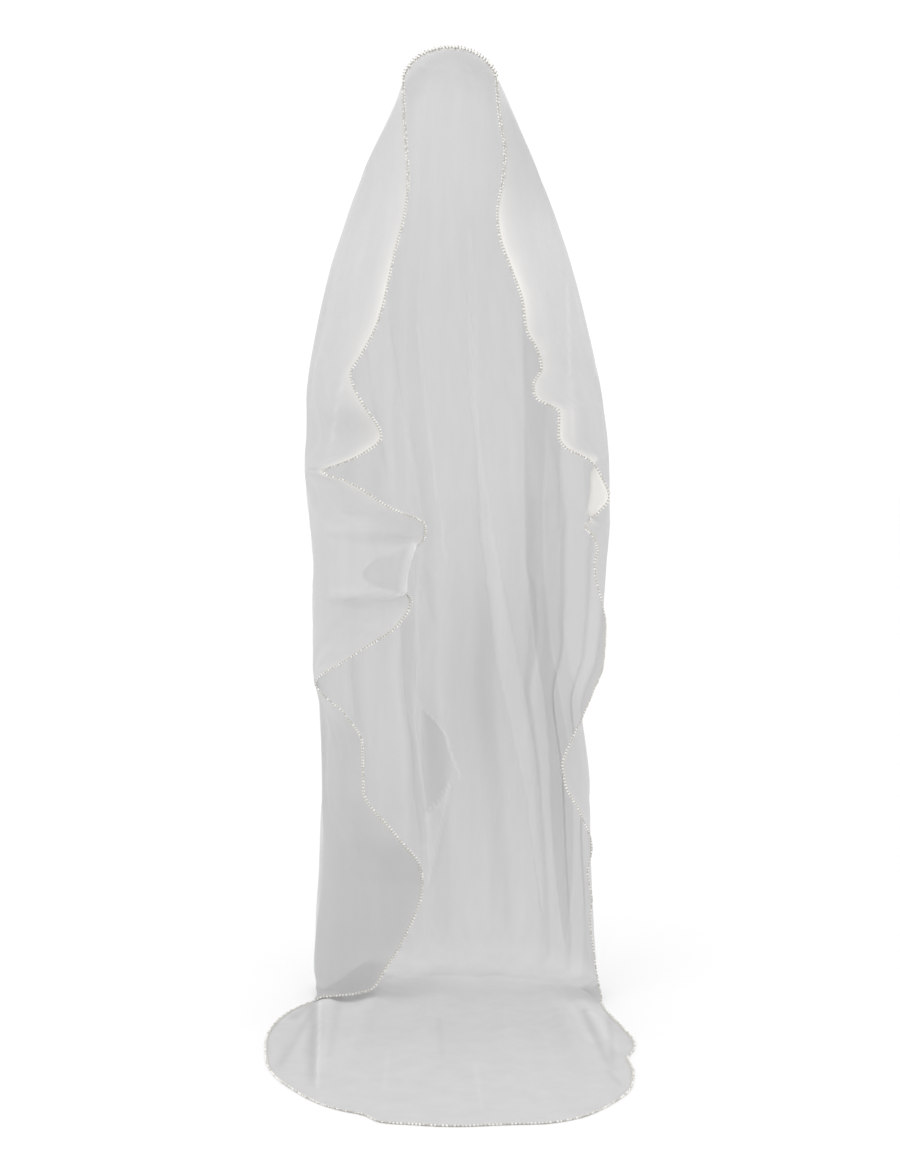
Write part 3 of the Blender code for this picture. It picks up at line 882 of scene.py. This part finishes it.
def sheet_edge(falls, train, side):
    """The places round the whole sheet in order, as (grid, row, column), without the cut corners."""
    high, wide = falls.shape[:2]
    long, broad = train.shape[:2]
    places = [("falls", 0, j) for j in range(1, wide - 1)]
    places += [("falls", i, wide - 1) for i in range(1, high)]
    places += [("train", i, broad - 1) for i in range(side + 1, long - 1)]
    places += [("train", long - 1, j) for j in range(broad - 2, 0, -1)]
    places += [("train", i, 0) for i in range(long - 2, side, -1)]
    places += [("falls", i, 0) for i in range(high - 1, 0, -1)]
    return places


def seam_places(train, side):
    """Where the train meets the falls, in the order of the landing's points."""
    broad = train.shape[1]
    places = [(i, 0) for i in range(side, 0, -1)]
    places += [(0, j) for j in range(broad)]
    places += [(i, broad - 1) for i in range(1, side + 1)]
    return places


def ramp(value, width):
    """A soft step from 0 to 1, as wide as given, round 0."""
    share = np.clip(value / width + 0.5, 0, 1)
    return share * share * (3 - 2 * share)


def across_sheet(falls):
    """Each point's place across the sheet, 0 at the left edge and 1 at the right one, and its row's width."""
    way = np.array([travelled(row) for row in falls])
    widths = np.maximum(way[:, -1:], 1e-6)
    return way / widths, widths


def crease_depth(across, widths, drops):
    """How far the long creases press the hanging cloth in."""
    depth = np.zeros(across.shape)
    for from_across, from_drop, to_across, to_drop, trough, width in CREASES:
        share = np.clip((drops - from_drop) / (to_drop - from_drop), 0, 1)
        fade = np.sin(np.pi * share) ** 0.6
        centre = from_across + (to_across - from_across) * share
        wander = CREASE_WANDER * np.sin(drops / CREASE_WAVE + 40 * from_across)
        aside = (across - (centre + wander)[:, None]) * widths / width
        ridge = CREASE_RIDGE_SHARE * np.exp(-((aside - CREASE_RIDGE_AWAY) ** 2))
        depth += trough * fade[:, None] * (np.exp(-(aside**2)) - ridge)
    wave = np.zeros(across.shape)
    for waves_across, wave_down, start, share in RIPPLES:
        wave += share * np.sin(across * waves_across + drops[:, None] / wave_down + start)
    wave *= 0.6 + 0.4 * np.sin(across * 31 + drops[:, None] / 240)
    calm = np.clip((drops - RIPPLE_STARTS) / RIPPLE_START_SOFT, 0, 1)
    calm *= np.clip((RIPPLE_ENDS - drops) / RIPPLE_END_SOFT, 0, 1)
    return depth + RIPPLE_HEIGHT * wave * calm[:, None]


def fold_places(falls, drops, first, last):
    """The painted light and shade and the rise of the back's pressed folds and sharp creases, between two
    columns.
    """
    tone = np.zeros(falls.shape[:2])
    rise = np.zeros(falls.shape[:2])
    back = slice(first, last + 1)
    x = falls[:, back, 0]
    off_flanks = ramp(falls[:, back, 1] - FLANK_DEPTH, 2 * FLANK_DEPTH)
    for painted_shading, fold_rise, left_soft, right_soft, rows in BACK_FOLDS:
        inside = band_share(x, drops, left_soft, right_soft, rows) * off_flanks
        tone[:, back] += painted_shading * inside
        rise[:, back] += fold_rise * inside
    for line_tone, width, rows in BACK_LINES:
        line = line_share(x, drops, width, rows) * off_flanks
        tone[:, back] += line_tone * line
        rise[:, back] += LINE_RISE * line
    return tone, rise


def band_share(x, drops, left_soft, right_soft, rows):
    """1 between a fold's two lines and 0 outside them, for places x at their drops."""
    table = np.array(rows, float)
    left = np.interp(drops, table[:, 0], table[:, 1])[:, None]
    right = np.interp(drops, table[:, 0], table[:, 2])[:, None]
    ends = ramp(drops - table[0, 0], FOLD_END) * ramp(table[-1, 0] - drops, FOLD_END)
    return ramp(x - left, left_soft) * ramp(right - x, right_soft) * ends[:, None]


def line_share(x, drops, width, rows):
    """1 on a crease and 0 off it, for places x at their drops."""
    table = np.array(rows, float)
    centre = np.interp(drops, table[:, 0], table[:, 1])[:, None]
    ends = ramp(drops - table[0, 0], LINE_END) * ramp(table[-1, 0] - drops, LINE_END)
    return np.exp(-(((x - centre) / width) ** 2)) * ends[:, None]


def edge_warmth(falls, drops):
    """The painted warm glow beside the free edges and over the lapel."""
    warm = np.zeros(falls.shape[:2])
    for i, row in enumerate(falls):
        way = travelled(row)
        side_drop = smooth(LEVELS, 1, drops[i])
        near_left = np.exp(-way / WARM_REACH)
        near_right = np.exp(-(way[-1] - way) / WARM_REACH)
        warm[i] = near_left * np.interp(side_drop, WARMTH[:, 0], WARMTH[:, 1])
        warm[i] += near_right * np.interp(side_drop, WARMTH[:, 0], WARMTH[:, 2])
    lapel = ramp(drops - LAPEL_TOP, LAPEL_TOP_SOFT) * ramp(LAPEL_FOOT - drops, LAPEL_FOOT_SOFT)
    turned_over = ramp(FOLD_STEP - FLAP_STEPS, TURN_SOFT)[::-1]
    over = lapel[:, None] * turned_over * LAPEL_WARMTH
    warm[:, -len(FLAP_STEPS) :] = np.maximum(warm[:, -len(FLAP_STEPS) :], over)
    return warm


def soft_shades(falls, drops, table):
    """The sum of soft round patches of painted light and shade, over the points of the hanging cloth."""
    total = np.zeros(falls.shape[:2])
    for x, drop, reach_across, reach_down, shade in table:
        aside = (falls[..., 0] - x) / reach_across
        below = (drops[:, None] - drop) / reach_down
        total += shade * np.exp(-(aside**2) - below**2)
    return total


def broad_tones(falls, drops):
    """The painted light and shade over the back and the flaps, with the flaps' creases and doubled cloth."""
    back = smooth(BACK_TONES, 1, drops)[:, None] + soft_shades(falls, drops, BACK_SHADES)
    side_drops = smooth(LEVELS, 1, drops)
    half = falls.shape[1] // 2
    flap = np.zeros(falls.shape[:2])
    shades = soft_shades(falls, drops, LEFT_FLAP_SHADES)
    flap[:, :half] = smooth(FLAP_TONES, 1, side_drops)[:, None] + shades[:, :half]
    flap[:, half:] = smooth(FLAP_TONES, 2, side_drops)[:, None]
    in_front = ramp(-FRONT_STARTS - falls[..., 1], FRONT_SOFT)
    tone = in_front * flap + (1 - in_front) * back
    left = slice(0, FLAP_COLUMNS + 1)
    right = slice(falls.shape[1] - FLAP_COLUMNS - 1, falls.shape[1])
    # Painted highlights on the flaps' sharp creases.
    for columns, (line_tone, width, rows) in ((left, FLAP_LINE_LEFT), (right, FLAP_LINE_RIGHT)):
        tone[:, columns] += line_tone * line_share(falls[:, columns, 0], drops, width, rows)
    # Painted shade at the foot of the left flap.
    tone[:, left] += HEM_PATCH[0] * band_share(falls[:, left, 0], drops, *HEM_PATCH[2:])
    # Painted light on the left flap's tucked part, which lifts the shade between its layers.
    tucked = ramp(drops - TUCK_TOP, TUCK_SOFT) * ramp(TUCK_FOOT - drops, TUCK_SOFT)
    tone[:, : len(FLAP_STEPS)] += TUCK_TONE * tucked[:, None] * ramp(FOLD_STEP - FLAP_STEPS, TURN_SOFT)
    # Painted light along the top of the hood.
    tone += CROWN_BAND_TONE * ramp(falls[..., 2] + CROWN_BAND_DROP, CROWN_BAND_SOFT)
    return tone


def train_tones(plan):
    """The train's painted light and shade: its slow change of tone, with its pleats and streaks."""
    tone = np.interp(plan[:, 1], TRAIN_TONES[:, 0], TRAIN_TONES[:, 1])
    for from_x, from_y, to_x, to_y, streak_tone, width in STREAKS:
        start = np.array([from_x, from_y])
        run = np.array([to_x, to_y]) - start
        share = (plan - start) @ run / (run @ run)
        aside = np.linalg.norm(plan - start - np.clip(share, 0, 1)[:, None] * run, axis=1)
        ends = ramp(share - STREAK_STARTS, STREAK_START_SOFT) * ramp(STREAK_ENDS - share, STREAK_END_SOFT)
        tone += streak_tone * ends * np.exp(-((aside / width) ** 2))
    return tone


def mesh_piece(name, points, faces, look):
    """A smooth-shaded mesh from points in millimetres."""
    mesh = bpy.data.meshes.new(name)
    mesh.from_pydata((np.asarray(points) * MM).tolist(), [], faces)
    mesh.validate()
    mesh.shade_smooth()
    mesh.materials.append(look)
    made = bpy.data.objects.new(name, mesh)
    collection.objects.link(made)
    return made


def grid_faces(numbers):
    """The four-sided faces of a grid of point numbers."""
    a, b, c, d = numbers[:-1, :-1], numbers[:-1, 1:], numbers[1:, 1:], numbers[1:, :-1]
    return np.stack([a, b, c, d], axis=-1).reshape(-1, 4).tolist()


def sheet_piece(falls, train, tone, warm, look):
    """The whole sheet as one surface, with the train joined to the falls along the landing."""
    high, wide = falls.shape[:2]
    fall_numbers = np.arange(high * wide).reshape(high, wide)
    train_numbers = np.full(train.shape[:2], -1)
    for k, place in enumerate(seam_places(train, SIDE_COLUMNS_ON_FLOOR)):
        train_numbers[place] = fall_numbers[-1, k]
    free = train_numbers < 0
    train_numbers[free] = high * wide + np.arange(free.sum())
    points = np.concatenate([falls.reshape(-1, 3), train[free]])
    made = mesh_piece("veil_tulle", points, grid_faces(fall_numbers) + grid_faces(train_numbers), look)
    # The sheet's painted light and shade, and its painted warm glow, go to the net's material as values.
    add_values(made, "painted_shading", np.concatenate([tone.ravel(), train_tones(train[free][:, :2])]))
    add_values(made, "warmth", np.concatenate([warm.ravel(), np.zeros(int(free.sum()))]))
    return made


def add_values(piece, name, values):
    """A named value at each point of a piece, for its material."""
    layer = piece.data.attributes.new(name, "FLOAT", "POINT")
    layer.data.foreach_set("value", values.astype(np.float32))


def evenly(points, step):
    """Ways a step apart along a closed line, and the line's own ways."""
    way = travelled(np.vstack([points, points[:1]]))
    count = int(round(way[-1] / step))
    return np.arange(count) * way[-1] / count, way


def on_line(values, way, at):
    """Values of a closed line's points, taken at ways along it."""
    return along(np.vstack([values, values[:1]]), way, at)


def roll_piece(line, outward, look):
    """The rolled satin edge: a round cord along the sheet's outline."""
    at, way = evenly(line, ROLL_STEP)
    centres = on_line(line, way, at)
    ahead = unit(np.roll(centres, -1, axis=0) - np.roll(centres, 1, axis=0))
    up = unit(np.cross(ahead, unit(on_line(outward, way, at))))
    out = unit(np.cross(up, ahead))
    rings = []
    for side in range(ROLL_SIDES):
        turn = 2 * math.pi * side / ROLL_SIDES
        rings.append(centres + ROLL_RADIUS * (math.cos(turn) * out + math.sin(turn) * up))
    points = np.stack(rings, axis=1)
    points[..., 2] = np.maximum(points[..., 2], -FLOOR_DROP)
    numbers = np.arange(len(centres) * ROLL_SIDES).reshape(len(centres), ROLL_SIDES)
    numbers = np.vstack([numbers, numbers[:1]])
    numbers = np.hstack([numbers, numbers[:, :1]])
    made = mesh_piece("veil_rolled_edge", points.reshape(-1, 3), grid_faces(numbers), look)
    # Painted shade on the rolled edge: darker between the pearls, and darker all along it round the head.
    shade_between_pearls = (0.5 - 0.5 * np.cos(2 * math.pi * at / PEARL_PITCH)) ** 3
    twill_and_head_shade = HEAD_SHADE_SHARE * ramp(centres[:, 2] + HEAD_SHADE_DROP, HEAD_SHADE_SOFT)
    add_values(made, "painted_gap_shade", np.repeat(np.maximum(shade_between_pearls, twill_and_head_shade), ROLL_SIDES))
    return made


def pearl_ball():
    """The points and faces of one small ball."""
    shape = bmesh.new()
    bmesh.ops.create_icosphere(shape, subdivisions=2, radius=PEARL_RADIUS)
    points = np.array([tuple(corner.co) for corner in shape.verts])
    faces = np.array([[corner.index for corner in face.verts] for face in shape.faces])
    shape.free()
    return points, faces


def pearl_piece(line, outward, normals, look):
    """The pearls, close together along the outer side of the rolled edge, with more rows round the head."""
    at, way = evenly(line, PEARL_PITCH)
    rows = []
    for lowest_drop, aside, off_face, shift in PEARL_ROWS:
        here = (at + shift * PEARL_PITCH) % way[-1]
        edge = on_line(line, way, here)
        row = edge + aside * unit(on_line(outward, way, here)) + off_face * unit(on_line(normals, way, here))
        rows.append(row[edge[:, 2] > -lowest_drop])
    places = np.concatenate(rows)
    places[:, 2] = np.maximum(places[:, 2], PEARL_RADIUS - FLOOR_DROP)
    ball, ball_faces = pearl_ball()
    points = (places[:, None, :] + ball[None, :, :]).reshape(-1, 3)
    faces = ball_faces[None, :, :] + (np.arange(len(places)) * len(ball))[:, None, None]
    return mesh_piece("veil_pearls", points, faces.reshape(-1, 3).tolist(), look)


def new_material(name):
    """A material, its Principled shader, and helpers that add and join its nodes."""
    made = bpy.data.materials.new(name)
    made.use_nodes = True

    def add(kind, **settings):
        node = made.node_tree.nodes.new(kind)
        for key, value in settings.items():
            if key in node.inputs:
                node.inputs[key].default_value = value
            else:
                setattr(node, key, value)
        return node

    return made, made.node_tree.nodes["Principled BSDF"], add, made.node_tree.links.new


def two_colours(add, low, low_colour, high, high_colour):
    """A colour ramp between two colours."""
    node = add("ShaderNodeValToRGB")
    for element, place, colour in zip(node.color_ramp.elements, (low, high), (low_colour, high_colour)):
        element.position = place
        element.color = (*colour, 1)
    return node


def tulle_look():
    """Sheer white net: more see-through face on than edge on, with a fine mesh, streaks, painted light and
    shade, and a painted warm glow at its edges.
    """
    made, shader, add, link = new_material("tulle")
    shader.inputs["Roughness"].default_value = 0.8
    shader.inputs["Sheen Weight"].default_value = 0.2
    shader.inputs["Sheen Roughness"].default_value = 0.5
    shader.inputs["Specular IOR Level"].default_value = 0.2
    place = add("ShaderNodeTexCoord")

    stretched = add("ShaderNodeMapping")
    stretched.inputs["Scale"].default_value = (1.0, 1.0, 0.08)
    streaks = add("ShaderNodeTexNoise", Scale=26.0, Detail=4.0, Roughness=0.6)
    link(place.outputs["Object"], stretched.inputs["Vector"])
    link(stretched.outputs["Vector"], streaks.inputs["Vector"])
    cool = two_colours(add, 0.3, (0.625, 0.625, 0.632), 0.7, (0.665, 0.662, 0.66))
    link(streaks.outputs["Fac"], cool.inputs["Fac"])

    # Painted light and shade scale the net's colour, and a painted warm glow mixes cream into it by the
    # edges.
    tone = add("ShaderNodeAttribute", attribute_name="painted_shading")
    lighter = add("ShaderNodeMath", operation="ADD")
    lighter.inputs[1].default_value = 1.0
    link(tone.outputs["Fac"], lighter.inputs[0])
    toned = add("ShaderNodeVectorMath", operation="SCALE")
    link(cool.outputs["Color"], toned.inputs[0])
    link(lighter.outputs["Value"], toned.inputs["Scale"])

    warmth = add("ShaderNodeAttribute", attribute_name="warmth")
    warmed = add("ShaderNodeMix", data_type="RGBA", clamp_factor=True)
    link(warmth.outputs["Fac"], warmed.inputs[0])
    link(toned.outputs["Vector"], warmed.inputs[6])
    warmed.inputs[7].default_value = (0.88, 0.86, 0.815, 1)
    link(warmed.outputs[2], shader.inputs["Base Color"])

    facing = add("ShaderNodeLayerWeight", Blend=0.35)
    cover = add("ShaderNodeMapRange")
    cover.inputs["To Min"].default_value = COVER_FACE_ON
    cover.inputs["To Max"].default_value = COVER_EDGE_ON
    link(facing.outputs["Facing"], cover.inputs["Value"])
    denser = add("ShaderNodeMath", operation="MULTIPLY_ADD", use_clamp=True)
    denser.inputs[1].default_value = COVER_OF_WARMTH
    link(warmth.outputs["Fac"], denser.inputs[0])
    link(cover.outputs["Result"], denser.inputs[2])
    only_lighter = add("ShaderNodeMath", operation="MAXIMUM")
    only_lighter.inputs[1].default_value = 0.0
    link(tone.outputs["Fac"], only_lighter.inputs[0])
    lit = add("ShaderNodeMath", operation="MULTIPLY_ADD", use_clamp=True)
    lit.inputs[1].default_value = COVER_OF_TONE
    link(only_lighter.outputs["Value"], lit.inputs[0])
    link(denser.outputs["Value"], lit.inputs[2])
    link(lit.outputs["Value"], shader.inputs["Alpha"])

    net = add("ShaderNodeTexVoronoi", feature="DISTANCE_TO_EDGE", Scale=700.0)
    link(place.outputs["Object"], net.inputs["Vector"])
    bump = add("ShaderNodeBump", Strength=0.25, Distance=0.0004)
    link(net.outputs["Distance"], bump.inputs["Height"])
    link(bump.outputs["Normal"], shader.inputs["Normal"])
    return made


def satin_look():
    """Ivory satin, rolled on the bias, so its twill runs round the cord at a slant."""
    made, shader, add, link = new_material("rolled_satin")
    shader.inputs["Roughness"].default_value = 0.4
    shader.inputs["Sheen Weight"].default_value = 0.2
    place = add("ShaderNodeTexCoord")
    twill = add("ShaderNodeTexWave", Scale=260.0, Distortion=1.5, bands_direction="DIAGONAL")
    link(place.outputs["Object"], twill.inputs["Vector"])
    twill_and_head_shade = two_colours(add, 0.2, (0.73, 0.71, 0.66), 0.8, (0.84, 0.825, 0.78))
    link(twill.outputs["Fac"], twill_and_head_shade.inputs["Fac"])
    # Painted shade: the cord is darkened between the pearls and round the head.
    painted_gap_shade = add("ShaderNodeAttribute", attribute_name="painted_gap_shade")
    gap_shaded = add("ShaderNodeMix", data_type="RGBA")
    gap_shaded.inputs[7].default_value = (0.30, 0.28, 0.25, 1)
    link(painted_gap_shade.outputs["Fac"], gap_shaded.inputs[0])
    link(twill_and_head_shade.outputs["Color"], gap_shaded.inputs[6])
    link(gap_shaded.outputs[2], shader.inputs["Base Color"])
    bump = add("ShaderNodeBump", Strength=0.3, Distance=0.0004)
    link(twill.outputs["Fac"], bump.inputs["Height"])
    link(bump.outputs["Normal"], shader.inputs["Normal"])
    return made


def pearl_look():
    """Ivory pearls with a soft lustre, no two quite the same shade."""
    made, shader, add, link = new_material("pearl")
    shader.inputs["Roughness"].default_value = 0.22
    shader.inputs["Coat Weight"].default_value = 0.6
    shader.inputs["Coat Roughness"].default_value = 0.12
    place = add("ShaderNodeTexCoord")
    shade = add("ShaderNodeTexNoise", Scale=230.0, Detail=0.0)
    link(place.outputs["Object"], shade.inputs["Vector"])
    tint = two_colours(add, 0.36, (0.54, 0.52, 0.49), 0.58, (0.96, 0.95, 0.92))
    link(shade.outputs["Fac"], tint.inputs["Fac"])
    link(tint.outputs["Color"], shader.inputs["Base Color"])
    return made


def floor_look():
    """A matt pale floor with the faintest unevenness."""
    made, shader, add, link = new_material("pale_floor")
    shader.inputs["Roughness"].default_value = 0.9
    cloud = add("ShaderNodeTexNoise", Scale=0.6, Detail=2.0)
    tint = two_colours(add, 0.3, (0.96, 0.96, 0.96), 0.7, (0.98, 0.98, 0.98))
    link(cloud.outputs["Fac"], tint.inputs["Fac"])
    link(tint.outputs["Color"], shader.inputs["Base Color"])
    return made


def build_veil():
    """Makes the sheet, its rolled edge and its pearls, and hides the solids that they take the place of."""
    back_steps = back_columns(FLUTE_STEPS)
    side = SIDE_COLUMNS_ON_FLOOR
    falls = fall_grid(FALL_DROPS, FLAP_STEPS, back_steps)
    train = train_grid(falls[-1], side, TRAIN_ROWS)
    drops = np.append(FALL_DROPS, FLOOR_DROP)
    across, widths = across_sheet(falls)
    # tone gathers the painted light and shade, and warm the painted warm glow beside the edges.
    tone, rise = fold_places(falls, drops, FLAP_COLUMNS, falls.shape[1] - 1 - FLAP_COLUMNS)
    tone += broad_tones(falls, drops)
    warm = edge_warmth(falls, drops)
    depth = crease_depth(across, widths, drops) + rise
    depth[:2] = 0
    depth[-1] = 0
    falls = falls - sheet_normals(falls) * depth[..., None]

    grids = {"falls": falls, "train": train}
    normals = {"falls": sheet_normals(falls), "train": sheet_normals(train)}
    places = sheet_edge(falls, train, side)
    line = np.array([grids[name][i, j] for name, i, j in places])
    face_out = np.array([normals[name][i, j] for name, i, j in places])
    inner = []
    for name, i, j in places:
        high, wide = grids[name].shape[:2]
        inner.append(grids[name][min(max(i, 2), high - 3), min(max(j, 2), wide - 3)])
    ahead = unit(np.roll(line, -1, axis=0) - np.roll(line, 1, axis=0))
    outward = unit(np.cross(face_out, ahead))
    wrong = np.einsum("ij,ij->i", outward, np.array(inner) - line) > 0
    outward[wrong] *= -1

    veil = sheet_piece(falls, train, tone, warm, tulle_look())
    roll = roll_piece(line, outward, satin_look())
    pearls = pearl_piece(line, outward, face_out, pearl_look())
    for piece in (veil, roll, pearls):
        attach(piece, "root")
    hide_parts("crown", "left_fall", "back_fall", "right_fall", "train")
    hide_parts("pearl_edging")


def area_light(name, place, at, size, energy):
    """A soft light that points at a place."""
    lamp = bpy.data.lights.new(name, "AREA")
    lamp.energy = energy
    lamp.size = size
    made = bpy.data.objects.new(name, lamp)
    made.location = place
    made.rotation_euler = (Vector(at) - Vector(place)).to_track_quat("-Z", "Y").to_euler()
    bpy.context.scene.collection.objects.link(made)


def build_stage():
    """A plain pale floor, soft studio light and the picture's camera."""
    bpy.ops.mesh.primitive_plane_add(size=40, location=(0, 0, -(FLOOR_DROP + FLOOR_BELOW) * MM))
    floor = bpy.context.object
    floor.name = "floor"
    floor.data.materials.append(floor_look())

    world = bpy.data.worlds.new("studio")
    bpy.context.scene.world = world
    world.use_nodes = True
    world.node_tree.nodes["Background"].inputs["Color"].default_value = (1, 1, 1, 1)
    world.node_tree.nodes["Background"].inputs["Strength"].default_value = 1.05
    area_light("key", (-2.6, -3.2, 1.6), (0, 0, -0.9), 2.5, 14)
    area_light("fill", (2.2, -3.6, 0.4), (0, 0, -1.1), 3.0, 8)

    lens = bpy.data.cameras.new("camera")
    lens.sensor_fit = "VERTICAL"
    lens.sensor_height = SENSOR
    lens.lens = SENSOR * FOCAL_PIXELS / PICTURE_HEIGHT
    camera = bpy.data.objects.new("camera", lens)
    camera.location = [c * MM for c in CAMERA_PLACE]
    camera.rotation_euler = (math.radians(90 - CAMERA_PITCH), 0, 0)
    bpy.context.scene.collection.objects.link(camera)
    bpy.context.scene.camera = camera
    bpy.context.scene.view_settings.view_transform = "Standard"


collection = bpy.data.collections.new("bridal_veil")
bpy.context.scene.collection.children.link(collection)
build_veil()
build_stage()
